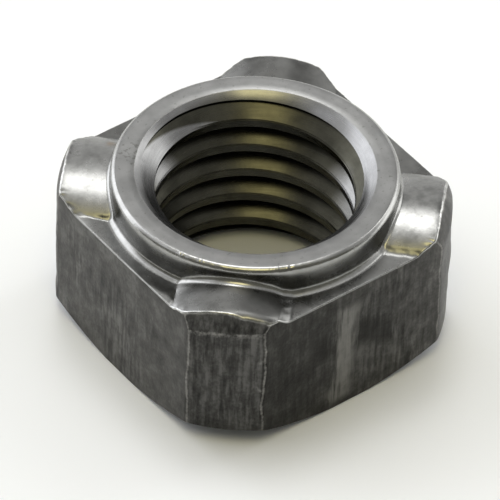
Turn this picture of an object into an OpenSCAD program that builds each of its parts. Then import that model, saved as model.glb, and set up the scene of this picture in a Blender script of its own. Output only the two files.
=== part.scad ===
// Square weld nut with a pilot collar and four crowned weld pads.
// One cold-formed steel blank, tapped through. The base lies on Z = 0, the thread runs along +Z,
// the flats face X and Y, and the weld pads sit on the corners beside the collar.

/* [Body] */
// Width across the flats
across_flats = 17; // [16:0.1:19]
// Diameter across the rounded corners
corner_d = 20.5; // [19.5:0.1:22]
// Height of the shoulder above the base
shoulder_h = 8; // [6:0.1:11]
// Rise of the base chamfer where it reaches the corners
base_chamfer_h = 1; // [0.4:0.1:1.6]
// Angle between the base chamfer and the base
base_chamfer_angle = 30; // [20:1:40]

/* [Pilot collar] */
// Outside diameter of the collar
collar_d = 15; // [14:0.1:15.4]
// Height of the collar above the shoulder
collar_h = 1.75; // [1.3:0.05:3]
// Rounding of the collar's outer rim
collar_rim_r = 0.2; // [0.1:0.05:0.6]
// Radius of the fillet at the collar's foot
collar_fillet_r = 0.3; // [0.1:0.05:0.5]

/* [Weld pads] */
// Width of each pad
pad_w = 6; // [4.5:0.1:7]
// Rise of a pad's crest above the shoulder
pad_rise = 0.95; // [0.7:0.05:1.2]
// Radius of the crown across a pad
pad_crown_r = 6; // [4.5:0.1:12]
// How far a pad's outer end curves in at the crest
pad_end_inset = 0.25; // [0.1:0.05:0.6]
// How far below the shoulder that curve starts
pad_end_drop = 0.2; // [0.1:0.05:0.6]

/* [Thread] */
// Nominal diameter of the thread
thread_d = 12; // [8:0.5:12.5]
// Pitch of the thread
thread_pitch = 1.75; // [1:0.25:2]
// How much wider the hole is than the thread's basic minor diameter
thread_play = 0.3; // [0.1:0.05:0.4]
// How much wider the top countersink is than the thread
top_mouth_extra = 0.7; // [0.2:0.1:1]
// How much wider the base countersink is than the thread
base_mouth_extra = 0.1; // [0.1:0.1:1]
// Included angle of the countersinks
countersink_angle = 90; // [80:5:120]

/* [Hidden] */
$fn = 96;

// Room by which cutting shapes run past the faces that they cut
past = 1;
// Minor diameter of a metric thread: its nominal diameter less this share of the pitch
minor_share = 1.0825;

total_h = shoulder_h + collar_h;
collar_r = collar_d / 2;
crest_h = shoulder_h + pad_rise;
bore_d = thread_d - minor_share * thread_pitch + thread_play;
top_mouth_d = thread_d + top_mouth_extra;
base_mouth_d = thread_d + base_mouth_extra;
corner_r = corner_d / 2;
// Radius of the flat base inside the chamfer
base_r = corner_r - base_chamfer_h / tan(base_chamfer_angle);
// Height of a pad's rounded end, and the radius that reaches its inset over that height
pad_end_h = pad_rise + pad_end_drop;
pad_end_r = (pad_end_inset ^ 2 + pad_end_h ^ 2) / (2 * pad_end_inset);

// Square with its corners turned round
module outline() {
  intersection() {
    square(across_flats, center = true);
    circle(d = corner_d);
  }
}

// Prismatic body, chamfered all round at the base
module body() {
  intersection() {
    linear_extrude(shoulder_h) outline();
    cylinder(h = total_h, r1 = base_r, r2 = base_r + total_h / tan(base_chamfer_angle));
  }
}

// Section of a weld pad: a crowned strip, drawn across the pad with the base at Y = 0
module pad_section() {
  intersection() {
    translate([0, crest_h - pad_crown_r]) circle(pad_crown_r);
    translate([-pad_w / 2, shoulder_h - past]) square([pad_w, pad_rise + 2 * past]);
  }
}

// Weld pads, one on each corner, crowned across and running out to the rounded corners
module weld_pads() {
  intersection() {
    linear_extrude(total_h) outline();
    for (turn = [45 : 90 : 315])
      rotate(turn) rotate([90, 0, 90]) linear_extrude(corner_d) pad_section();
  }
}

// Turned cut that curves in the outer ends of the pads
module pad_end_cut() {
  foot_h = shoulder_h - pad_end_drop;
  rotate_extrude()
    difference() {
      translate([corner_r - pad_end_inset, foot_h]) square([pad_end_inset + past, pad_end_h + past]);
      translate([corner_r - pad_end_r, foot_h]) circle(pad_end_r);
    }
}

// Turned collar: the fillet at its foot, its wall and its rounded rim
module collar() {
  rotate_extrude() {
    square([collar_r, total_h - collar_rim_r]);
    square([collar_r - collar_rim_r, total_h]);
    translate([collar_r - collar_rim_r, total_h - collar_rim_r]) circle(collar_rim_r);
    difference() {
      translate([collar_r - past, shoulder_h - past]) square(past + collar_fillet_r);
      translate([collar_r + collar_fillet_r, shoulder_h + collar_fillet_r]) circle(collar_fillet_r);
    }
  }
}

// Countersink with its mouth on Z = 0, opening downwards
module countersink(mouth_d) {
  half_angle = countersink_angle / 2;
  translate([0, 0, -past])
    cylinder(
      h = past + mouth_d / 2 / tan(half_angle),
      r1 = mouth_d / 2 + past * tan(half_angle),
      r2 = 0
    );
}

// Hole for the thread, at its crests, with a countersink at each end
module threaded_hole() {
  translate([0, 0, -past]) cylinder(h = total_h + 2 * past, d = bore_d);
  countersink(base_mouth_d);
  translate([0, 0, total_h]) mirror([0, 0, 1]) countersink(top_mouth_d);
}

// The whole nut, one piece of bare steel
module weld_nut() {
  color([0.36, 0.36, 0.34])
    difference() {
      union() {
        body();
        weld_pads();
        collar();
      }
      pad_end_cut();
      threaded_hole();
    }
}

weld_nut();
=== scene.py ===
# A square weld nut of bare steel lying on a pale floor, seen from above one corner.
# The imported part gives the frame; the nut is dressed here with its worn edges and its cut thread.
import math

import bpy
import numpy as np
from mathutils import Matrix, Vector


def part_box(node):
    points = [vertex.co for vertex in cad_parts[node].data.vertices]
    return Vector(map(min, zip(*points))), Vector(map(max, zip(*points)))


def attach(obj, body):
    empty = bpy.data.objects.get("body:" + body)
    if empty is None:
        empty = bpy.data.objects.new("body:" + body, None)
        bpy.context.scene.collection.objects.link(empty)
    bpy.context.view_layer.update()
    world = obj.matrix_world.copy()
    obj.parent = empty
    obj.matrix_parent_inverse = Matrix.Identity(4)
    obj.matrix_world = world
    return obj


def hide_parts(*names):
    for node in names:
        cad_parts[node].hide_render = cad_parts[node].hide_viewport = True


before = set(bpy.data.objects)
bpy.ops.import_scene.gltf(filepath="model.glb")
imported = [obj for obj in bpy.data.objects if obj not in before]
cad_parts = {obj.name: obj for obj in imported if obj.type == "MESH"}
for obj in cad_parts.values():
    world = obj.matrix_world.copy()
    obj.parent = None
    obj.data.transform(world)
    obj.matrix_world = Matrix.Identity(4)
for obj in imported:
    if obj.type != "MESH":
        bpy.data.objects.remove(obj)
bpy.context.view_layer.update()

# The nut's blank: one slug of drawn steel bar, squared and upset in a cold press.
# The press raises the round pilot collar and the four crowned weld pads, whose outer ends are torn ragged.
# All sizes are in millimetres, on the part's own axes, with the base on Z = 0.
MM = 0.001
low_corner, high_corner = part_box("weld_nut")
across_flats = (high_corner.x - low_corner.x) / MM
total_height = (high_corner.z - low_corner.z) / MM
corner_radius = 10.25
shoulder_height = 8.0
base_chamfer_rise = 1.0
base_chamfer_slope = math.tan(math.radians(30.0))
collar_radius = 7.5
fillet_radius = 0.4
bore_radius = 5.203
top_mouth_radius = 6.27
base_mouth_radius = 6.05
fillet_outer = collar_radius + fillet_radius
base_flat_radius = corner_radius - base_chamfer_rise / base_chamfer_slope

# Distance from the axis, along a corner, at which two faces would meet
face_reach = across_flats / 2 * math.sqrt(2.0)
middle_of_face = face_reach / 2


def corner_half_width(radius):
    """Half the width of a corner that is turned to this radius, between its two upright edges."""
    return (face_reach - np.sqrt(2 * radius ** 2 - face_reach ** 2)) / 2


corner_half = corner_half_width(corner_radius)
# The pads, counter-clockwise from the corner between +X and +Y. Each pair holds the clockwise side first.
# The crown's radius differs at the collar and at the outer end; the foot is the fillet down to the shoulder.
# The outer end curves in from its start, which climbs across the pad; a bend of 1 makes it a plain slope.
# A foot's bend of 1 makes it a plain slope too. The sheen is partly how far the die has burnished the pad and
# partly painted highlight and shade, by where light falls: at its clockwise side, a little in from it, a
# little in from the other side, and at that side.
pads = [
    {"turn": 45, "crest": 8.92, "crown_in": (6.0, 6.0), "crown_out": (5.2, 5.2),
     "half": (2.95, 2.95), "foot": (0.25, 0.25), "foot_bend": 2.0,
     "end_start": 7.8, "end_climb": 0.0, "end_inset": 0.30, "end_bend": 2.0,
     "burnish_and_painted_sheen": (0.0, 0.05, 0.4, 0.45)},
    {"turn": 135, "crest": 8.92, "crown_in": (6.0, 6.0), "crown_out": (5.8, 5.8),
     "half": (2.95, 2.95), "foot": (0.25, 0.28), "foot_bend": 2.0,
     "end_start": 7.8, "end_climb": 0.02, "end_inset": 0.33, "end_bend": 2.2,
     "burnish_and_painted_sheen": (1.0, 1.0, 0.85, 0.3)},
    {"turn": 225, "crest": 8.90, "crown_in": (5.2, 4.6), "crown_out": (6.8, 8.2),
     "half": (2.95, 2.55), "foot": (0.22, 0.5), "foot_bend": 1.15,
     "end_start": 7.75, "end_climb": 0.085, "end_inset": 0.40, "end_bend": 1.0,
     "burnish_and_painted_sheen": (1.0, 0.55, 0.0, 0.45)},
    {"turn": 315, "crest": 8.92, "crown_in": (6.0, 6.0), "crown_out": (5.8, 5.8),
     "half": (2.85, 2.75), "foot": (0.50, 0.25), "foot_bend": 2.0,
     "end_start": 7.75, "end_climb": 0.1, "end_inset": 0.52, "end_bend": 1.4,
     "burnish_and_painted_sheen": (0.3, 1.0, 0.95, 0.8)},
]
front_pad = 2
sheen_inset = 0.7
# Height of the shoulder's edge along the face that follows each corner, counter-clockwise
face_edge_heights = (8.0, 8.05, 7.95, 8.0)
# How far the shoulder beside that face is burnished, most of it painted sheen where light falls on it
face_burnishes_and_painted_sheens = (0.1, 0.7, 0.45, 0.1)

# Plan lines run from the fillet at the collar's foot out to the faces. Half a corner's lines start on the
# corner's axis, cross the crown, then the fillet at its foot, then the shoulder to the middle of the face.
# They are closest at the corner's upright edge; the lines on the crown's side stretch with the pad's width.
crown_middle = np.linspace(0, 1.68, 9)
crown_edge = np.linspace(1.74, 2.16, 8)
crown_side = np.linspace(2.26, 2.95, 8)
stretch_start = 2.2
foot_stations = np.linspace(0, 1, 8)[1:]
shoulder_stations = np.linspace(0, 1, 17)[1:]
crown_count = len(crown_middle) + len(crown_edge) + len(crown_side)
half_count = crown_count + len(foot_stations) + len(shoulder_stations)


def half_corner(half, foot, foot_bend):
    """Plan lines on one side of a corner: how far across, the angle at the fillet, the share of the crown."""
    stretch = (half - stretch_start) / (crown_side[-1] - stretch_start)
    stretched = stretch_start + (crown_side - stretch_start) * stretch
    pad_lines = np.concatenate([crown_middle, crown_edge, stretched, half + foot_stations * foot])
    shoulder = half + foot + shoulder_stations * (middle_of_face - half - foot)
    first_angle = math.asin((half + foot) / fillet_outer)
    shoulder_angles = first_angle + shoulder_stations * (math.pi / 4 - first_angle)
    crown_share = np.concatenate([
        np.ones(crown_count), (1 - foot_stations) ** foot_bend, np.zeros(len(shoulder_stations))])
    return {
        "across": np.concatenate([pad_lines, shoulder]),
        "angle": np.concatenate([np.arcsin(pad_lines / fillet_outer), shoulder_angles]),
        "crown_share": crown_share,
    }


# One value for each plan line, counter-clockwise all round the nut. A corner's clockwise half runs backwards
# and leaves out its ends: the corner's axis, and the middle of the face, which the corner before has made.
line_parts = []
for number, pad in enumerate(pads):
    clockwise = half_corner(pad["half"][0], pad["foot"][0], pad["foot_bend"])
    counter = half_corner(pad["half"][1], pad["foot"][1], pad["foot_bend"])
    backwards = slice(half_count - 2, 0, -1)
    count = 2 * half_count - 2
    after = np.arange(count) >= half_count - 2
    pad_turn = math.radians(pad["turn"])
    part = {
        "across": np.concatenate([-clockwise["across"][backwards], counter["across"]]),
        "angle": np.concatenate([-clockwise["angle"][backwards], counter["angle"]]) + pad_turn,
        "crown_share": np.concatenate([clockwise["crown_share"][backwards], counter["crown_share"]]),
        "face_edge": np.where(after, face_edge_heights[number], face_edge_heights[number - 1]),
        "face_burnish_and_painted_sheen": np.where(after, face_burnishes_and_painted_sheens[number], face_burnishes_and_painted_sheens[number - 1]),
        "turn": np.full(count, pad_turn),
        "corner": np.full(count, number),
    }
    for name in ("half", "crown_in", "crown_out"):
        part[name] = np.where(after, pad[name][1], pad[name][0])
    for name in ("crest", "end_start", "end_climb", "end_inset", "end_bend"):
        part[name] = np.full(count, pad[name])
    first_side, last_side = pad["half"]
    sheen_places = (-first_side, sheen_inset - first_side, last_side - sheen_inset, last_side)
    part["burnish_and_painted_sheen"] = np.interp(part["across"], sheen_places, pad["burnish_and_painted_sheen"])
    line_parts.append(part)
line = {name: np.concatenate([part[name] for part in line_parts]) for name in line_parts[0]}
across = line["across"]
collar_angle = line["angle"]
turn = line["turn"]
on_pad = line["crown_share"]
on_front_pad = line["corner"] == front_pad
line_count = len(across)


def ripple(position, seed, longest, shortest):
    """Uneven line along an edge: six waves of falling length, between about -1 and 1."""
    draw = np.random.RandomState(seed)
    lengths = np.geomspace(longest, shortest, 6)
    total = np.zeros_like(position, dtype=float)
    for length in lengths:
        total += (length / longest) ** 0.5 * np.sin(2 * np.pi * (position / length + draw.rand()))
    return total / np.sum((lengths / longest) ** 0.5)


def by_corner(position, seed, longest, shortest):
    """A ripple for each line, with waves of its own on every corner."""
    total = np.zeros(line_count)
    for number in range(len(pads)):
        here = line["corner"] == number
        total[here] = ripple(position[here], seed + number, longest, shortest)
    return total


def to_plan(along, sideways):
    """Points on the part's X and Y from lengths along and across each line's own corner."""
    return np.stack([
        along * np.cos(turn) - sideways * np.sin(turn),
        along * np.sin(turn) + sideways * np.cos(turn),
    ], axis=1)


def around(radius, angle):
    """Points at a radius and an angle, one for each line."""
    return np.stack([radius * np.cos(angle), radius * np.sin(angle)], axis=1)


# The upright edges of the corners wander below the pads, and the start of each pad's end curve is uneven
upright_round = 0.09
wander = 0.13
wander_top = 7.5
wander_fade = 0.8
wander_seeds = (11, 21)
end_unevenness = 0.04
most_rise = 1.2


def outer_wall(height):
    """How far along and across its corner each line meets the outer wall, at one height for each line.
    The corners' upright edges wander a little as they rise, and the pads' ends curve in towards the top."""
    fade = np.clip((wander_top - height) / wander_fade, 0, 1)
    climb = line["end_start"] + line["end_climb"] * across + end_unevenness * by_corner(across, 31, 2.5, 0.5)
    rise = np.clip((height - climb) / (line["crest"] - climb), 0, most_rise)
    inset_radius = corner_radius - line["end_inset"] * rise ** line["end_bend"]
    edges = []
    for seed in wander_seeds:
        edges.append(corner_half_width(inset_radius) + wander * fade * by_corner(height, seed, 7.0, 0.7))
    edge = np.where(across < 0, edges[0], edges[1])
    size = np.abs(across)
    inside = size / corner_half
    outside = (line["half"] - size) / (line["half"] - corner_half)
    share = np.clip(np.where(size < corner_half, inside, outside), 0, 1)
    sideways = across + np.sign(across) * (edge - corner_half) * share
    # The corner is turned round between its two wandering edges; far from it the root is held above zero
    span = np.clip((sideways + edges[0]) / (edges[0] + edges[1]), 0, 1)
    radii = [np.hypot(value, face_reach - value) for value in edges]
    radius = radii[0] * (1 - span) + radii[1] * span
    on_corner = np.sqrt(np.maximum(radius ** 2 - sideways ** 2, 1.0))
    gap = face_reach - np.abs(sideways) - on_corner
    along = on_corner + 0.5 * (gap - np.sqrt(gap ** 2 + upright_round ** 2))
    return along, sideways


# The shoulder sinks a little towards the collar, and the feet of the pads are slightly dinged
dish_depth = 0.045
dish_width = 0.9
ding_depth = 0.02
ding_along = 9
ding_across = 4


def top_height(along, sideways):
    """Height of the pads' crowns, their feet and the shoulder, which is dished towards the collar."""
    out = np.clip((along - fillet_outer) / (corner_radius - fillet_outer), 0, 1)
    crown = line["crown_in"] + (line["crown_out"] - line["crown_in"]) * out
    arch = line["crest"] - crown + np.sqrt(crown ** 2 - np.minimum(np.abs(sideways), line["half"]) ** 2)
    from_fillet = np.clip((np.hypot(along, sideways) - fillet_outer) / dish_width, 0, 1)
    dish = shoulder_height - dish_depth
    shoulder = dish + (line["face_edge"] - dish) * from_fillet
    on_foot = 4 * on_pad * (1 - on_pad)
    dinged = ding_depth * np.sin(ding_along * along + ding_across * sideways) * on_foot
    return shoulder + (arch - shoulder) * on_pad + dinged


# The mesh is a stack of rings, each with one point on every plan line. The rings run from the hole's mouth at
# the base, out along the base, up the wall, in over the pads, up the collar and back down the hole.
# Each ring names the finish from itself to the next, how far its edge is rubbed bright, and how far it is
# burnished by the die. The rubbed brightness is a painted highlight on the fillet and partly one on the rim;
# the burnish is partly painted sheen.
DRAWN, PRESSED, FACED, CUT = 0, 1, 2, 3
rings = []
zones = []
wears_and_highlights = []
burnishes_with_painted_sheen = []


def on_lines(value):
    """A number for each plan line, from one for all or from one for each."""
    return np.broadcast_to(np.asarray(value, dtype=float), (line_count,))


def add_ring(plan, height, zone, wear_and_highlight=0.0, burnish_and_sheen=0.5):
    """Adds one ring of points."""
    rings.append(np.column_stack([plan, on_lines(height)]))
    zones.append(zone)
    wears_and_highlights.append(on_lines(wear_and_highlight))
    burnishes_with_painted_sheen.append(on_lines(burnish_and_sheen))


# Base: flat from the hole's mouth to the chamfer, which a cone cuts all round; the angles of the wall's foot
# are counted on the same turn as the collar's
foot_level = 0.6
least_chamfer = 0.06
chamfer_lift = 0.02
chamfer_wear = 0.25
foot_plan = to_plan(*outer_wall(on_lines(foot_level)))
foot_radius = np.hypot(foot_plan[:, 0], foot_plan[:, 1])
foot_angle = np.unwrap(np.arctan2(foot_plan[:, 1], foot_plan[:, 0]))
foot_angle += 2 * np.pi * np.round((collar_angle[0] - foot_angle[0]) / (2 * np.pi))
base_edge = np.minimum(base_flat_radius, foot_radius - least_chamfer)
for share in (0.0, 0.12, 0.5, 0.9):
    radius = base_mouth_radius + share * (base_edge - base_mouth_radius)
    add_ring(around(radius, collar_angle + share * (foot_angle - collar_angle)), 0.0, DRAWN)
wall_foot = (foot_radius - base_edge) * base_chamfer_slope + chamfer_lift
for share in (0.0, 0.06, 0.35, 0.7, 0.94):
    radius = base_edge + share * (foot_radius - base_edge)
    add_ring(around(radius, foot_angle), share * wall_foot, DRAWN, chamfer_wear)

# Outer wall: the drawn flats and the turned corners, up to the pads' ragged ends and the shoulder's edge.
# The pads' ends are torn, the front one's is chipped on one side, and the shoulder's edge is nicked.
edge_round = 0.07
tear_depth = 0.10
chip_depth = 0.13
chip_start = 0.25
chip_rise = 0.25
chip_end = 2.6
chip_fall = 0.6
nick_depth = 0.03
line_spacing = 0.2
upright_wear_width = 0.12
torn = tear_depth * np.abs(by_corner(across, 51, 1.9, 0.25))
chipped = np.clip((across - chip_start) / chip_rise, 0, 1) * np.clip((chip_end - across) / chip_fall, 0, 1)
torn = torn + chip_depth * np.where(on_front_pad, chipped, 0)
nicked = nick_depth * np.abs(ripple(np.arange(line_count) * line_spacing, 71, 3.0, 0.4))
edge_height = top_height(on_lines(corner_radius), across)
# The edge's height and its place on the wall hang on each other, so both are found in three steps
for step in range(3):
    edge_height = top_height(*outer_wall(edge_height)) - torn * on_pad - nicked * (1 - on_pad)
upright_edge = np.exp(-((np.abs(across) - corner_half) / upright_wear_width) ** 2)
# The wall's upper rows start at the crease where a pad's end begins to curve in, sharp on the front pad
plain_crease = 7.55
crease_drop = 0.2
front_crease_wear = 0.86
other_crease_wear = 0.1
crease_reach = 0.2
crease_fade = 0.3
wear_below = 0.15
wear_above = 0.35
crease = plain_crease + (line["end_start"] + line["end_climb"] * across - plain_crease) * on_pad
wall_middle = np.minimum(crease, edge_height - crease_drop)
on_corner_face = np.clip((corner_half + crease_reach - np.abs(across)) / crease_fade, 0, 1)
crease_wear = np.where(on_front_pad, front_crease_wear, other_crease_wear) * on_corner_face
for share in (0.0, 0.09, 0.18, 0.27, 0.36, 0.45, 0.54, 0.63, 0.72, 0.81, 0.9, 0.97, 1.0):
    height = wall_foot + share * (wall_middle - wall_foot)
    wear_and_highlight = np.maximum(upright_edge, crease_wear * max(0.0, 1 - (1 - share) / wear_below))
    add_ring(to_plan(*outer_wall(height)), height, DRAWN, wear_and_highlight)
for share in (0.15, 0.3, 0.5, 0.75):
    height = wall_middle + share * (edge_height - edge_round - wall_middle)
    wear_and_highlight = np.maximum(upright_edge, crease_wear * max(0.0, 1 - share / wear_above))
    add_ring(to_plan(*outer_wall(height)), height, DRAWN, wear_and_highlight)

# Ragged top edge, then the crowned pads or the plain shoulder in to the collar's fillet
run_in = 0.45
most_of_line = 0.3
shoulder_edge_wear = 0.6
pad_edge_wear = 1.0
edge_along, edge_sideways = outer_wall(edge_height)
edge_plan = to_plan(edge_along, edge_sideways)
below_plan = to_plan(*outer_wall(edge_height - edge_round))
inner_along = fillet_outer * np.cos(collar_angle - turn)
inner_sideways = fillet_outer * np.sin(collar_angle - turn)
line_length = np.hypot(inner_along - edge_along, inner_sideways - edge_sideways)
# Burnish and painted sheen of each line: the pad's value on the crown, the shoulder's beyond its foot
burnish_and_painted_sheen = line["face_burnish_and_painted_sheen"] + (line["burnish_and_painted_sheen"] - line["face_burnish_and_painted_sheen"]) * on_pad


def on_top(distance):
    """Plan and height of the top, at a distance in from the outer edge along each line."""
    share = distance / line_length
    along = edge_along + (inner_along - edge_along) * share
    sideways = edge_sideways + (inner_sideways - edge_sideways) * share
    sunk = (torn * on_pad + nicked * (1 - on_pad)) * np.clip(1 - distance / run_in, 0, 1) ** 2
    return to_plan(along, sideways), top_height(along, sideways) - sunk


corner_point = np.column_stack([edge_plan, edge_height])
down_point = np.column_stack([below_plan, edge_height - edge_round])
in_point = np.column_stack(on_top(on_lines(edge_round)))
edge_wear_and_highlight = shoulder_edge_wear + (pad_edge_wear - shoulder_edge_wear) * on_pad
for share in (0.0, 0.25, 0.5, 0.75, 1.0):
    bent = down_point * (1 - share) ** 2 + corner_point * 2 * share * (1 - share) + in_point * share ** 2
    add_ring(bent[:, :2], bent[:, 2], PRESSED, edge_wear_and_highlight, burnish_and_painted_sheen)
for distance in (0.12, 0.2, 0.3, run_in):
    plan, height = on_top(np.minimum(distance, most_of_line * line_length))
    add_ring(plan, height, PRESSED, 0.0, burnish_and_painted_sheen)
inner_start = np.minimum(run_in, most_of_line * line_length)
for share in np.linspace(0, 1, 8)[1:]:
    plan, height = on_top(inner_start + share * (line_length - inner_start))
    add_ring(plan, height, PRESSED, 0.0, burnish_and_painted_sheen)

# Fillet at the collar's foot, tighter where it meets the pads, with a painted highlight along its middle
pad_fillet_radius = 0.22
front_pad_fillet_radius = 0.38
fillet_painted_highlight = 0.76
inner_height = top_height(inner_along, inner_sideways)
pad_hollow = np.where(on_front_pad, front_pad_fillet_radius, pad_fillet_radius)
hollow = fillet_radius + (pad_hollow - fillet_radius) * on_pad
for angle in np.radians([4, 10, 18, 27, 36, 46, 60, 75, 90]):
    radius = collar_radius + hollow * (1 - math.sin(angle))
    height = inner_height + hollow * (1 - math.cos(angle))
    add_ring(around(radius, collar_angle), height, PRESSED, fillet_painted_highlight * math.sin(2 * angle), 1.0)

# The collar's wall, its rim and its faced top. The rim is worn rounder on the front, where small burrs stand
# on it, and is a little blunt elsewhere.
rim_width = 0.27
front_rim_extra = 0.06
rim_bluntness = 0.2
# The rim's rubbed brightness is partly wear and partly a painted highlight
rim_wear_and_painted_highlight = 0.7
burr_height = 0.05
wall_sheen = 0.3
front_angle = math.radians(232)
faced_from = math.radians(75)
mouth_land = 0.03
rim_front = np.clip(np.cos(collar_angle - front_angle), 0, 1) ** 4
rim_round = rim_width + front_rim_extra * rim_front
rim_power = 1 + rim_bluntness * (1 - rim_front)
burr = burr_height * rim_front * np.random.RandomState(81).rand(line_count) ** 4
fillet_top = inner_height + hollow
rim_height = total_height - rim_round
for share in (0.35, 0.7):
    height = fillet_top + share * (rim_height - fillet_top)
    add_ring(around(collar_radius, collar_angle), height, PRESSED, 0.0, wall_sheen)
for angle in np.radians([0, 13, 26, 39, 52, 65, 78, 90]):
    inward = rim_round * (1 - abs(math.cos(angle)) ** rim_power)
    upward = rim_round * math.sin(angle) ** rim_power
    zone = FACED if angle > faced_from else PRESSED
    height = rim_height + upward + burr * math.sin(2 * angle)
    add_ring(around(collar_radius - inward, collar_angle), height, zone, rim_wear_and_painted_highlight, 1.0)
for radius in (7.0, 6.7, top_mouth_radius + mouth_land):
    add_ring(around(radius, collar_angle), total_height, FACED)

# Hole at the thread's crests, countersunk at 45 degrees to the axis at both ends
mouth_bevel = 0.02
add_ring(around(top_mouth_radius - mouth_bevel, collar_angle), total_height - mouth_bevel, CUT)
for share in (0.5, 1.0):
    radius = top_mouth_radius + share * (bore_radius - top_mouth_radius)
    add_ring(around(radius, collar_angle), total_height - top_mouth_radius + radius, CUT)
hole_top = total_height - top_mouth_radius + bore_radius
hole_foot = base_mouth_radius - bore_radius
for share in (0.25, 0.5, 0.75):
    add_ring(around(bore_radius, collar_angle), hole_top + share * (hole_foot - hole_top), CUT)
for share in (0.0, 0.5):
    radius = bore_radius + share * (base_mouth_radius - bore_radius)
    add_ring(around(radius, collar_angle), base_mouth_radius - radius, CUT)

ring_count = len(rings)
points = np.concatenate(rings) * MM
index = np.arange(ring_count * line_count).reshape(ring_count, line_count)
next_line = np.roll(index, -1, axis=1)
next_ring = np.roll(index, -1, axis=0)
next_both = np.roll(next_line, -1, axis=0)
quads = np.stack([index, next_line, next_both, next_ring], axis=-1).reshape(-1, 4)
blank_mesh = bpy.data.meshes.new("weld_nut_blank")
blank_mesh.from_pydata(points.tolist(), [], quads.tolist())
blank_mesh.polygons.foreach_set("material_index", np.repeat(zones, line_count).astype(np.int32))
# Edge wear with the fillet's and rim's painted highlights, and the burnish with its painted sheen
for name, values in (("edge_wear_and_highlight", wears_and_highlights), ("burnished_with_painted_sheen", burnishes_with_painted_sheen)):
    layer = blank_mesh.attributes.new(name, "FLOAT", "POINT")
    layer.data.foreach_set("value", np.concatenate(values).astype(np.float32))
blank_mesh.update()


def node(tree, kind, inputs=None, **settings):
    """Adds a node to a tree. A socket given as an input is linked, anything else is its value."""
    made = tree.nodes.new(kind)
    for name, value in settings.items():
        setattr(made, name, value)
    for name, value in (inputs or {}).items():
        if isinstance(value, bpy.types.NodeSocket):
            tree.links.new(value, made.inputs[name])
        else:
            made.inputs[name].default_value = value
    return made


def new_finish(name):
    """A new steel finish: its material, node tree and shader, and the piece's own coordinates."""
    material = bpy.data.materials.new(name)
    material.use_nodes = True
    tree = material.node_tree
    shader = tree.nodes["Principled BSDF"]
    shader.inputs["Metallic"].default_value = 1.0
    place = node(tree, "ShaderNodeTexCoord").outputs["Object"]
    return material, tree, shader, place


def coat(tree, shader, colour, roughness):
    """Gives a shader its colour and its roughness, which both vary over the surface."""
    tree.links.new(colour, shader.inputs["Base Color"])
    tree.links.new(roughness, shader.inputs["Roughness"])


def grain(tree, place, scale, detail, roughness):
    """Noise on the piece's coordinates; the scale is in waves per metre, one for each axis."""
    stretched = node(tree, "ShaderNodeMapping", {"Vector": place, "Scale": scale}).outputs["Vector"]
    made = node(tree, "ShaderNodeTexNoise", {
        "Vector": stretched, "Scale": 1.0, "Detail": detail, "Roughness": roughness})
    return made.outputs["Fac"]


def painted(tree, name):
    """A value that the mesh holds at its points."""
    return node(tree, "ShaderNodeAttribute", attribute_name=name).outputs["Fac"]


def ramp(tree, value, *stops):
    """Colours along a value: each stop is a place from 0 to 1 and a colour."""
    made = node(tree, "ShaderNodeValToRGB", {"Fac": value})
    band = made.color_ramp
    while len(band.elements) < len(stops):
        band.elements.new(1.0)
    for element, (stop, colour) in zip(band.elements, stops):
        element.position = stop
        element.color = (*colour, 1.0)
    return made.outputs["Color"]


def level(tree, value, low, high, to_low, to_high):
    """A value moved from one range to another, held at the ends."""
    made = node(tree, "ShaderNodeMapRange", {
        "Value": value, "From Min": low, "From Max": high, "To Min": to_low, "To Max": to_high})
    return made.outputs["Result"]


def combine(tree, kind, first, second):
    """Two values put together by one sum."""
    made = node(tree, "ShaderNodeMath", {0: first, 1: second}, operation=kind)
    return made.outputs["Value"]


def swing(tree, pattern, strength):
    """A noise pattern turned to a value on both sides of zero."""
    return combine(tree, "MULTIPLY", combine(tree, "SUBTRACT", pattern, 0.5), strength)


def distance_from(tree, place, spot):
    """How far the surface is from a spot."""
    made = node(tree, "ShaderNodeVectorMath", {0: place, 1: spot}, operation="DISTANCE")
    return made.outputs["Value"]


def blend_colours(tree, share, first, second):
    """From the first colour to the second as the share goes from 0 to 1."""
    made = node(tree, "ShaderNodeMix", data_type="RGBA")
    for socket, value in ((made.inputs[0], share), (made.inputs[6], first), (made.inputs[7], second)):
        if isinstance(value, bpy.types.NodeSocket):
            tree.links.new(value, socket)
        else:
            socket.default_value = (*value, 1.0)
    return made.outputs[2]


def relief(tree, shader, height, depth, strength):
    """Fine relief from a height pattern; the depth is in millimetres."""
    made = node(tree, "ShaderNodeBump", {"Height": height, "Distance": depth * MM, "Strength": strength})
    tree.links.new(made.outputs["Normal"], shader.inputs["Normal"])


def mark(tree, along, height, centre, half, soft, lean=0.0, slope=0.0):
    """Share of a mark on a flat, with soft sides, sized in millimetres along the flat and up.
    It can lean along the flat as it rises, and slope up along the flat."""
    leaned = combine(tree, "SUBTRACT", along, combine(tree, "MULTIPLY", height, lean))
    sloped = combine(tree, "SUBTRACT", height, combine(tree, "MULTIPLY", along, slope))
    shares = []
    for value, middle, reach in ((leaned, centre[0], half[0]), (sloped, centre[1], half[1])):
        off = combine(tree, "ABSOLUTE", combine(tree, "SUBTRACT", value, middle * MM), 0.0)
        shares.append(level(tree, off, (reach - soft) * MM, (reach + soft) * MM, 1.0, 0.0))
    return combine(tree, "MULTIPLY", *shares)


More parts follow.
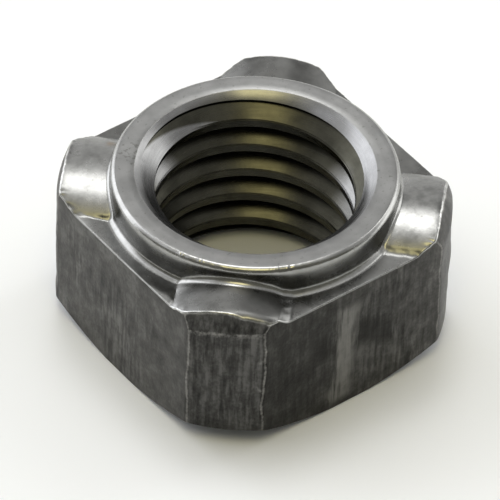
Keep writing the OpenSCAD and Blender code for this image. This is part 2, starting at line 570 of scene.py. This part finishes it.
# Drawn flats: the dark skin of the bar, mottled and scuffed in streaks the way it was drawn, and rubbed pale
# on the edges. Painted shade darkens the flat that faces -Y towards the front corner, and that flat has one
# long pale rub between two painted dark reflections. The front corner carries painted shade too, with two
# nicks beside its right-hand edge.
darkest_painted_shade_and_reflection = (0.014, 0.0137, 0.0125)
pale_rub = (0.2, 0.196, 0.185)
nick_steel = (0.24, 0.235, 0.225)
rubbed_edge = (0.36, 0.35, 0.33)
drawn, tree, shader, place = new_finish("drawn_flats")
axes = node(tree, "ShaderNodeSeparateXYZ", {"Vector": place}).outputs
fine = grain(tree, place, (6500, 6500, 5200), 4.0, 0.65)
blotch = grain(tree, place, (1500, 1500, 1300), 4.0, 0.6)
cloud = grain(tree, place, (420, 420, 330), 4.0, 0.6)
streak = grain(tree, place, (4200, 4200, 480), 4.0, 0.55)
uneven = swing(tree, streak, 1.6 * MM)
along_x = combine(tree, "ADD", axes["X"], uneven)
along_y = combine(tree, "ADD", axes["Y"], uneven)
on_left = level(tree, axes["X"], -8.45 * MM, -8.3 * MM, 1.0, 0.0)
on_right = level(tree, axes["Y"], -8.45 * MM, -8.3 * MM, 1.0, 0.0)
on_front = level(tree, combine(tree, "ADD", axes["X"], axes["Y"]), -14.3 * MM, -13.6 * MM, 1.0, 0.0)
scuffed = level(tree, grain(tree, place, (300, 300, 260), 2.0, 0.5), 0.5, 0.64, 0.1, 1.0)
left_scuff = combine(tree, "MULTIPLY", on_left, mark(tree, along_y, axes["Z"], (0.3, 4.0), (2.0, 1.9), 0.8))
right_scuff = combine(tree, "MULTIPLY", on_right, 0.45)
for scuff in (left_scuff, on_front, right_scuff):
    scuffed = combine(tree, "MAXIMUM", scuffed, scuff)
tone = swing(tree, streak, scuffed)
for pattern, strength in ((blotch, 0.55), (cloud, 0.5), (fine, 0.5)):
    tone = combine(tree, "ADD", tone, swing(tree, pattern, strength))
tone = combine(tree, "ADD", tone, 0.5)
skin = ramp(tree, tone,
            (0.3, (0.044, 0.043, 0.041)), (0.5, (0.09, 0.088, 0.084)), (0.72, (0.175, 0.172, 0.165)))
# A shaded copy of the skin, for the painted shade
painted_shade_skin = ramp(tree, tone,
                 (0.3, darkest_painted_shade_and_reflection), (0.5, (0.029, 0.0284, 0.026)), (0.72, (0.058, 0.0568, 0.0525)))
# Painted shade: the -Y flat darkens towards the front corner, and the front corner is half shaded
right_painted_shade = combine(tree, "MULTIPLY", on_right, level(tree, axes["X"], -5 * MM, 5 * MM, 0.85, 0.15))
painted_shade_share = combine(tree, "MAXIMUM", right_painted_shade, combine(tree, "MULTIPLY", on_front, 0.5))
skin = blend_colours(tree, painted_shade_share, skin, painted_shade_skin)
# Two painted dark reflections on the -Y flat, sloped up along it
dark_reflection_beyond = mark(tree, along_x, axes["Z"], (1.5, 4.95), (1.5, 0.85), 0.35, 0.0, -0.5)
dark_reflection_before = mark(tree, along_x, axes["Z"], (-1.95, 3.85), (0.6, 0.8), 0.35, 0.0, -0.5)
painted_dark_reflection = combine(tree, "MULTIPLY", on_right, combine(tree, "MAXIMUM", dark_reflection_beyond, dark_reflection_before))
skin = blend_colours(tree, combine(tree, "MULTIPLY", painted_dark_reflection, 0.7), skin, darkest_painted_shade_and_reflection)
rub_shape = mark(tree, along_x, axes["Z"], (-0.6, 3.7), (0.5, 3.2), 0.25, 0.054)
rub_grain = level(tree, combine(tree, "ADD", streak, blotch), 0.75, 1.15, 0.55, 1.0)
rub = combine(tree, "MULTIPLY", combine(tree, "MULTIPLY", on_right, rub_shape), rub_grain)
skin = blend_colours(tree, rub, skin, pale_rub)
across_front = combine(tree, "MULTIPLY", combine(tree, "SUBTRACT", axes["X"], axes["Y"]), math.sqrt(0.5))
upper_nick = mark(tree, across_front, axes["Z"], (1.78, 4.98), (0.12, 0.06), 0.1, 0.0, 0.5)
lower_nick = mark(tree, across_front, axes["Z"], (1.78, 6.1), (0.13, 0.08), 0.1, 0.0, -1.2)
nick = combine(tree, "MULTIPLY", on_front, combine(tree, "MAXIMUM", upper_nick, lower_nick))
nick = combine(tree, "MULTIPLY", nick, level(tree, fine, 0.4, 0.6, 0.2, 1.0))
skin = blend_colours(tree, nick, skin, nick_steel)
uneven_wear = combine(tree, "MULTIPLY", painted(tree, "edge_wear_and_highlight"), combine(tree, "ADD", fine, blotch))
skin = blend_colours(tree, level(tree, uneven_wear, 0.68, 1.2, 0.0, 0.75), skin, rubbed_edge)
coat(tree, shader, skin, level(tree, fine, 0.3, 0.7, 0.4, 0.56))
relief(tree, shader, combine(tree, "ADD", tone, combine(tree, "MULTIPLY", fine, 0.5)), 0.03, 0.6)

# Pressed steel of the pads, the shoulder and the collar's wall: burnished by the die on the pads, most on the
# left and right ones, and duller on the shoulder, with painted highlight and shade laid over that by where
# light falls. It has small marks, a trace of rust by the left pad, and edges that are torn bright on the
# pads; the rim is rubbed smooth and partly carries a painted highlight, and the fillet's bright line is a
# painted highlight.
rust = (0.2, 0.13, 0.07)
dark_mark = (0.12, 0.12, 0.11)
bright_edge_and_highlight = (0.56, 0.56, 0.54)
rust_place = (-4.1 * MM, 7.05 * MM, 8.54 * MM)
pressed, tree, shader, place = new_finish("pressed_steel")
mottle = grain(tree, place, (650, 650, 650), 5.0, 0.6)
speck = grain(tree, place, (3800, 3800, 3800), 3.0, 0.55)
blotch = grain(tree, place, (1700, 1700, 1700), 4.0, 0.65)
burnished_with_painted_sheen = painted(tree, "burnished_with_painted_sheen")
# A bright, lit copy and a dull, shaded copy of the steel, blended by the burnish and its painted sheen
bright_and_lit = ramp(tree, combine(tree, "MULTIPLY", combine(tree, "ADD", mottle, blotch), 0.5),
              (0.38, (0.18, 0.18, 0.172)), (0.5, (0.255, 0.255, 0.245)), (0.62, (0.3, 0.3, 0.29)))
dull_and_shaded = ramp(tree, mottle, (0.3, (0.1, 0.1, 0.095)), (0.7, (0.15, 0.15, 0.143)))
skin = blend_colours(tree, burnished_with_painted_sheen, dull_and_shaded, bright_and_lit)
from_rust = combine(tree, "ADD", distance_from(tree, place, rust_place),
                    combine(tree, "MULTIPLY", speck, 0.5 * MM))
skin = blend_colours(tree, level(tree, from_rust, 0.3 * MM, 0.65 * MM, 0.6, 0.0), skin, rust)
skin = blend_colours(tree, level(tree, speck, 0.64, 0.74, 0.0, 0.6), skin, dark_mark)
# Rubbed and torn edges, and the painted highlights on the fillet and the rim, turn the steel bright
worn_and_highlit = painted(tree, "edge_wear_and_highlight")
ragged = combine(tree, "ADD", combine(tree, "MULTIPLY", speck, 2.2), combine(tree, "MULTIPLY", mottle, 0.4))
torn_edge = combine(tree, "MULTIPLY", level(tree, worn_and_highlit, 0.8, 1.0, 0.0, 1.0),
                    level(tree, ragged, 1.15, 1.45, 0.0, 0.9))
rubbed_and_highlit = combine(tree, "MAXIMUM", level(tree, worn_and_highlit, 0.3, 0.9, 0.0, 0.45), torn_edge)
skin = blend_colours(tree, rubbed_and_highlit, skin, bright_edge_and_highlight)
dullness = level(tree, burnished_with_painted_sheen, 0.0, 1.0, 0.28, 0.23)
coat(tree, shader, skin, combine(tree, "ADD", dullness, level(tree, mottle, 0.3, 0.7, -0.03, 0.06)))
relief(tree, shader, combine(tree, "ADD", mottle, combine(tree, "MULTIPLY", speck, 0.3)), 0.02, 0.35)

# Faced top of the collar: cut flat and left matt, slightly pitted, most on the left beside the hole,
# with painted shade that darkens it towards the front
front_painted_shade = (0.13, 0.13, 0.125)
pit_grey = (0.14, 0.14, 0.13)
pit_place = (-4.3 * MM, 4.65 * MM, total_height * MM)
faced, tree, shader, place = new_finish("faced_collar")
mottle = grain(tree, place, (900, 900, 900), 5.0, 0.6)
speck = grain(tree, place, (4200, 4200, 4200), 3.0, 0.6)
axes = node(tree, "ShaderNodeSeparateXYZ", {"Vector": place}).outputs
skin = ramp(tree, mottle, (0.3, (0.235, 0.235, 0.229)), (0.7, (0.3, 0.3, 0.292)))
# Painted shade, darker towards the front
to_back = combine(tree, "ADD", axes["X"], axes["Y"])
skin = blend_colours(tree, level(tree, to_back, -10 * MM, 10 * MM, 0.3, 0.0), skin, front_painted_shade)
pit_share = level(tree, distance_from(tree, place, pit_place), 0.2 * MM, 1.1 * MM, 0.13, 0.0)
pitted = level(tree, combine(tree, "ADD", speck, pit_share), 0.62, 0.7, 0.0, 0.75)
skin = blend_colours(tree, pitted, skin, pit_grey)
coat(tree, shader, skin, level(tree, mottle, 0.3, 0.7, 0.3, 0.4))
relief(tree, shader, combine(tree, "ADD", mottle, combine(tree, "MULTIPLY", speck, 0.6)), 0.02, 0.4)

# Cut steel of the hole: the countersinks are turned bright; the thread is darkened, partly by the tap's oil
# and partly as painted shade in the hole, and carries two painted highlights on its flanks. All that lies
# behind the cones of the countersinks is darkened so.
left_painted_highlight = (-2.4 * MM, 4.75 * MM, 7.15 * MM)
right_painted_highlight = (5.3 * MM, -1.5 * MM, 6.2 * MM)
cut, tree, shader, place = new_finish("cut_thread")
turning = grain(tree, place, (300, 300, 9000), 4.0, 0.6)
mottle = grain(tree, place, (800, 800, 800), 4.0, 0.55)
axes = node(tree, "ShaderNodeSeparateXYZ", {"Vector": place}).outputs
flat_place = node(tree, "ShaderNodeCombineXYZ", {"X": axes["X"], "Y": axes["Y"]}).outputs["Vector"]
reach = node(tree, "ShaderNodeVectorMath", {0: flat_place}, operation="LENGTH").outputs["Value"]
above_cone = combine(tree, "SUBTRACT", axes["Z"], (total_height - top_mouth_radius) * MM)
under_cone = combine(tree, "SUBTRACT", base_mouth_radius * MM, axes["Z"])
depth = combine(tree, "SUBTRACT", reach, combine(tree, "MAXIMUM", above_cone, under_cone))
# Darkening behind the cones, partly tap oil and partly painted shade
oil_and_painted_shade = level(tree, depth, 0.02 * MM, 0.06 * MM, 0.0, 1.0)
# Two painted highlights on the flanks, where the bright steel shows
for highlight_place, highlight_reach in ((left_painted_highlight, 1.5 * MM), (right_painted_highlight, 2.2 * MM)):
    from_highlight = distance_from(tree, place, highlight_place)
    still_darkened = level(tree, from_highlight, 0.3 * highlight_reach, highlight_reach, 0.15, 1.0)
    oil_and_painted_shade = combine(tree, "MULTIPLY", oil_and_painted_shade, still_darkened)
oily_and_shaded = ramp(tree, mottle, (0.3, (0.043, 0.042, 0.033)), (0.7, (0.076, 0.074, 0.058)))
bright_and_lit = ramp(tree, mottle, (0.3, (0.21, 0.21, 0.207)), (0.7, (0.29, 0.29, 0.287)))
coat(tree, shader, blend_colours(tree, oil_and_painted_shade, bright_and_lit, oily_and_shaded), level(tree, turning, 0.3, 0.7, 0.23, 0.32))
relief(tree, shader, turning, 0.01, 0.08)
for finish in (drawn, pressed, faced, cut):
    blank_mesh.materials.append(finish)

# The thread: right-handed and coarse, cut by a tap right through the hole, with its crests deburred.
# The tap's tooth follows the helix and is taken out of the blank by Geometry Nodes.
pitch = 1.75
root_radius = 6.0
crest_width = 0.48
root_width = 0.18
deburr = 0.05
deburr_room = 0.1
tooth_room = 0.3
steps_per_turn = 128
turns = 8.5
# Height of one groove's middle over the base, at its angle round the axis; the helix starts seven turns lower
groove_height = 9.171
start_angle = math.radians(51.66)
start_height = groove_height - 7 * pitch
# The thread's finish stops this far inside the mouth and above the base
finish_margin = 0.01
sharp_angle = math.radians(32)

mouth_width = pitch - crest_width
flank_spread = (mouth_width - root_width) / (root_radius - bore_radius)
tooth_depth = root_radius - bore_radius + tooth_room
chamfer_depth = deburr + deburr_room

tap = bpy.data.node_groups.new("tapped_thread", "GeometryNodeTree")
tap.interface.new_socket("Blank", in_out="INPUT", socket_type="NodeSocketGeometry")
tap_sizes = {
    "Pitch": pitch * MM,
    "Turns": turns,
    "Tooth helix radius": (root_radius - tooth_depth / 2) * MM,
    "Tooth depth": tooth_depth * MM,
    "Tooth root width": root_width * MM,
    "Tooth mouth width": (root_width + tooth_depth * flank_spread) * MM,
    "Deburr helix radius": (bore_radius + deburr - chamfer_depth / 2) * MM,
    "Deburr depth": chamfer_depth * MM,
    "Deburr root width": mouth_width * MM,
    "Deburr mouth width": (mouth_width + 2 * chamfer_depth) * MM,
    "Start height": start_height * MM,
    "Start angle": start_angle,
    "Mouth radius": (top_mouth_radius - finish_margin) * MM,
    "Finish foot": finish_margin * MM,
}


def tap_input(name, kind):
    """Adds a named input to the tap and gives its identifier."""
    return tap.interface.new_socket(name, in_out="INPUT", socket_type=kind).identifier


tap_inputs = {name: tap_input(name, "NodeSocketFloat") for name in tap_sizes}
steps_input = tap_input("Steps per turn", "NodeSocketInt")
finish_input = tap_input("Finish", "NodeSocketMaterial")
tap.interface.new_socket("Nut", in_out="OUTPUT", socket_type="NodeSocketGeometry")
given = node(tap, "NodeGroupInput").outputs


def swept_tooth(kind):
    """The tooth or its deburring edge, swept along the helix as a closed solid."""
    helix = node(tap, "GeometryNodeCurveSpiral", {
        "Resolution": given["Steps per turn"], "Rotations": given["Turns"],
        "Start Radius": given[kind + " helix radius"], "End Radius": given[kind + " helix radius"],
        "Height": combine(tap, "MULTIPLY", given["Pitch"], given["Turns"]), "Reverse": True})
    upright = node(tap, "GeometryNodeSetCurveNormal", {"Curve": helix.outputs["Curve"]}, mode="Z_UP")
    section = node(tap, "GeometryNodeCurvePrimitiveQuadrilateral", {
        "Height": given[kind + " depth"], "Bottom Width": given[kind + " mouth width"],
        "Top Width": given[kind + " root width"], "Offset": 0.0}, mode="TRAPEZOID")
    facing_out = node(tap, "GeometryNodeTransform", {
        "Geometry": section.outputs["Curve"], "Rotation": (0.0, 0.0, -math.pi / 2)})
    solid = node(tap, "GeometryNodeCurveToMesh", {
        "Curve": upright.outputs["Curve"], "Profile Curve": facing_out.outputs["Geometry"],
        "Fill Caps": True})
    lift = node(tap, "ShaderNodeCombineXYZ", {"Z": given["Start height"]})
    start_turn = node(tap, "ShaderNodeCombineXYZ", {"Z": given["Start angle"]})
    placed = node(tap, "GeometryNodeTransform", {
        "Geometry": solid.outputs["Mesh"], "Translation": lift.outputs["Vector"],
        "Rotation": start_turn.outputs["Vector"]})
    return placed.outputs["Geometry"]


cutting = node(tap, "GeometryNodeMeshBoolean", {"Mesh 1": given["Blank"]},
               operation="DIFFERENCE", solver="EXACT")
for kind in ("Tooth", "Deburr"):
    tap.links.new(swept_tooth(kind), cutting.inputs["Mesh 2"])
whole = node(tap, "GeometryNodeRealizeInstances", {"Geometry": cutting.outputs["Mesh"]})
position = node(tap, "GeometryNodeInputPosition").outputs["Position"]
spot = node(tap, "ShaderNodeSeparateXYZ", {"Vector": position}).outputs
flat_spot = node(tap, "ShaderNodeCombineXYZ", {"X": spot["X"], "Y": spot["Y"]}).outputs["Vector"]
from_axis = node(tap, "ShaderNodeVectorMath", {0: flat_spot}, operation="LENGTH").outputs["Value"]
above_base = combine(tap, "GREATER_THAN", spot["Z"], given["Finish foot"])
within = combine(tap, "LESS_THAN", from_axis, given["Mouth radius"])
in_hole = combine(tap, "MULTIPLY", above_base, within)
finished = node(tap, "GeometryNodeSetMaterial", {
    "Geometry": whole.outputs["Geometry"], "Selection": in_hole, "Material": given["Finish"]})
node(tap, "NodeGroupOutput", {"Nut": finished.outputs["Geometry"]})

nut = bpy.data.objects.new("weld_nut_steel", blank_mesh)
bpy.context.scene.collection.objects.link(nut)
tapping = nut.modifiers.new("tapped_thread", "NODES")
tapping.node_group = tap
for name, size in tap_sizes.items():
    tapping[tap_inputs[name]] = size
tapping[steps_input] = steps_per_turn
tapping[finish_input] = cut
depsgraph = bpy.context.evaluated_depsgraph_get()
tapped_mesh = bpy.data.meshes.new_from_object(nut.evaluated_get(depsgraph))
nut.modifiers.clear()
nut.data = tapped_mesh
tapped_mesh.polygons.foreach_set("use_smooth", np.ones(len(tapped_mesh.polygons), dtype=bool))
tapped_mesh.set_sharp_from_angle(angle=sharp_angle)
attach(nut, "root")
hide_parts("weld_nut")

# Floor: one plain sheet of pale paper, laid flat under the nut.
# It is wide enough to reach the horizon in low views; its size is in metres.
floor_half = 3.0
paper_colour = (0.885, 0.9, 0.922, 1.0)
paper_roughness = 0.7
floor_corners = [
    (-floor_half, -floor_half, 0),
    (floor_half, -floor_half, 0),
    (floor_half, floor_half, 0),
    (-floor_half, floor_half, 0),
]
floor_mesh = bpy.data.meshes.new("floor")
floor_mesh.from_pydata(floor_corners, [], [(0, 1, 2, 3)])
floor = bpy.data.objects.new("floor", floor_mesh)
bpy.context.scene.collection.objects.link(floor)
paper = bpy.data.materials.new("pale_paper")
paper.use_nodes = True
paper_shader = paper.node_tree.nodes["Principled BSDF"]
paper_shader.inputs["Base Color"].default_value = paper_colour
paper_shader.inputs["Roughness"].default_value = paper_roughness
floor_mesh.materials.append(paper)

# Camera: the photograph's view, from above the corner between -X and -Y, with a long lens.
# The lens is given by its length in pixels of the picture; distances are in metres.
picture_width = 500
sensor_width = 36.0
lens_pixels = 6000.0
view_azimuth = math.radians(-38.343)
view_elevation = math.radians(43.861)
view_roll = math.radians(1.997)
view_distance = 0.315615
aim_right_pixels = -2.875
aim_down_pixels = -56.851
back = Vector((
    math.sin(view_azimuth) * math.cos(view_elevation),
    -math.cos(view_azimuth) * math.cos(view_elevation),
    math.sin(view_elevation),
))
right = Vector((math.cos(view_azimuth), math.sin(view_azimuth), 0))
up = back.cross(right)
aim = -back + right * (aim_right_pixels / lens_pixels) - up * (aim_down_pixels / lens_pixels)
camera_data = bpy.data.cameras.new("photo_view")
camera_data.sensor_width = sensor_width
camera_data.lens = lens_pixels / picture_width * sensor_width
camera_data.clip_start = 0.01
camera_data.clip_end = 20.0
camera = bpy.data.objects.new("photo_view", camera_data)
bpy.context.scene.collection.objects.link(camera)
camera.location = back * view_distance
camera.rotation_mode = "QUATERNION"
view_turn = aim.to_track_quat("-Z", "Y").to_matrix() @ Matrix.Rotation(view_roll, 3, "Z")
camera.rotation_quaternion = view_turn.to_quaternion()
bpy.context.scene.camera = camera

# Light: the room round the nut, with windows and lamps that show as soft panes in the steel.
# Angles over the nut run from the far horizon at 0 over the zenith to the camera's horizon at 180 degrees;
# places to the side run from -1 at the left horizon to 1 at the right; a pane that goes past them is open.
white = (1.0, 1.0, 1.0)
daylight = (0.97, 0.985, 1.03)
warm_white = (1.0, 0.9, 0.48)
camera_side = (0.2, 0.197, 0.17)
far_side = (0.92, 0.92, 0.92)
far_side_end = math.radians(85)
camera_side_start = math.radians(125)
backdrop = (0.93, 0.935, 0.95)
# Each pane: the angles over the nut and the places to the side at which it starts, is full, stops being full
# and ends, then its colour and brightness. A later pane covers an earlier one.
panes = [
    # Dim parts of the room: high on the right, and two behind the nut
    ((55, 70, 100, 110), (0.4, 0.6, 1.5, 2.0), white, 0.5),
    ((28, 38, 58, 64), (0.1, 0.18, 0.36, 0.44), white, 0.2),
    ((14, 20, 28, 32), (-0.42, -0.34, -0.12, -0.05), white, 0.15),
    # Wide window on the left, and its part that reaches further in
    ((-20, -10, 70, 84), (-3.0, -2.0, -0.62, -0.48), daylight, 2.8),
    ((27, 34, 60, 76), (-3.0, -2.0, -0.46, -0.36), daylight, 2.9),
    # Lamp overhead, after the fainter wing to its right
    ((60, 68, 76, 84), (-0.24, -0.12, 0.1, 0.3), white, 2.4),
    ((52, 66, 73, 83), (-0.24, -0.12, 0.02, 0.14), white, 7.4),
    # Two small lights on the right, low behind the nut and high
    ((-20, -10, 12, 22), (0.16, 0.24, 0.36, 0.44), white, 1.5),
    ((46, 52, 60, 68), (0.4, 0.46, 0.56, 0.64), white, 3.8),
    # Window on the right, and its low part at the far end
    ((16, 26, 50, 60), (0.54, 0.64, 2.0, 3.0), white, 2.6),
    ((-20, -10, 10, 22), (0.76, 0.86, 2.0, 3.0), white, 3.2),
    # Small window at the left front, and the warm lamp over the camera
    ((96, 102, 116, 124), (-0.86, -0.76, -0.62, -0.52), daylight, 1.2),
    ((96, 103, 118, 128), (-0.26, -0.16, 0.14, 0.24), warm_white, 3.1),
]
world = bpy.data.worlds.new("studio_room")
bpy.context.scene.world = world
world.use_nodes = True
room = world.node_tree
toward = node(room, "ShaderNodeTexCoord").outputs["Generated"]


def part_along(direction):
    """How far the way into the room goes along a direction."""
    made = node(room, "ShaderNodeVectorMath", {0: toward, 1: direction}, operation="DOT_PRODUCT")
    return made.outputs["Value"]


def soft_span(value, first, full, full_end, last):
    """Share of a light that grows from its first place, is full between the next two and ends at its last."""
    grow = level(room, value, first, full, 0.0, 1.0)
    fade = level(room, value, full_end, last, 1.0, 0.0)
    return combine(room, "MULTIPLY", grow, fade)


aside = part_along(tuple(right))
beyond = part_along((-math.sin(view_azimuth), math.cos(view_azimuth), 0.0))
overhead = node(room, "ShaderNodeSeparateXYZ", {"Vector": toward}).outputs["Z"]
over = combine(room, "ARCTAN2", overhead, beyond)
to_camera_side = level(room, over, far_side_end, camera_side_start, 0.0, 1.0)
glow = blend_colours(room, to_camera_side, far_side, camera_side)
for over_angles, side_places, colour, brightness in panes:
    over_share = soft_span(over, *[math.radians(angle) for angle in over_angles])
    share = combine(room, "MULTIPLY", over_share, soft_span(aside, *side_places))
    glow = blend_colours(room, share, glow, tuple(part * brightness for part in colour))
seen = node(room, "ShaderNodeLightPath").outputs["Is Camera Ray"]
glow = blend_colours(room, seen, glow, backdrop)
room.links.new(glow, room.nodes["Background"].inputs["Color"])
bpy.context.scene.view_settings.view_transform = "Standard"
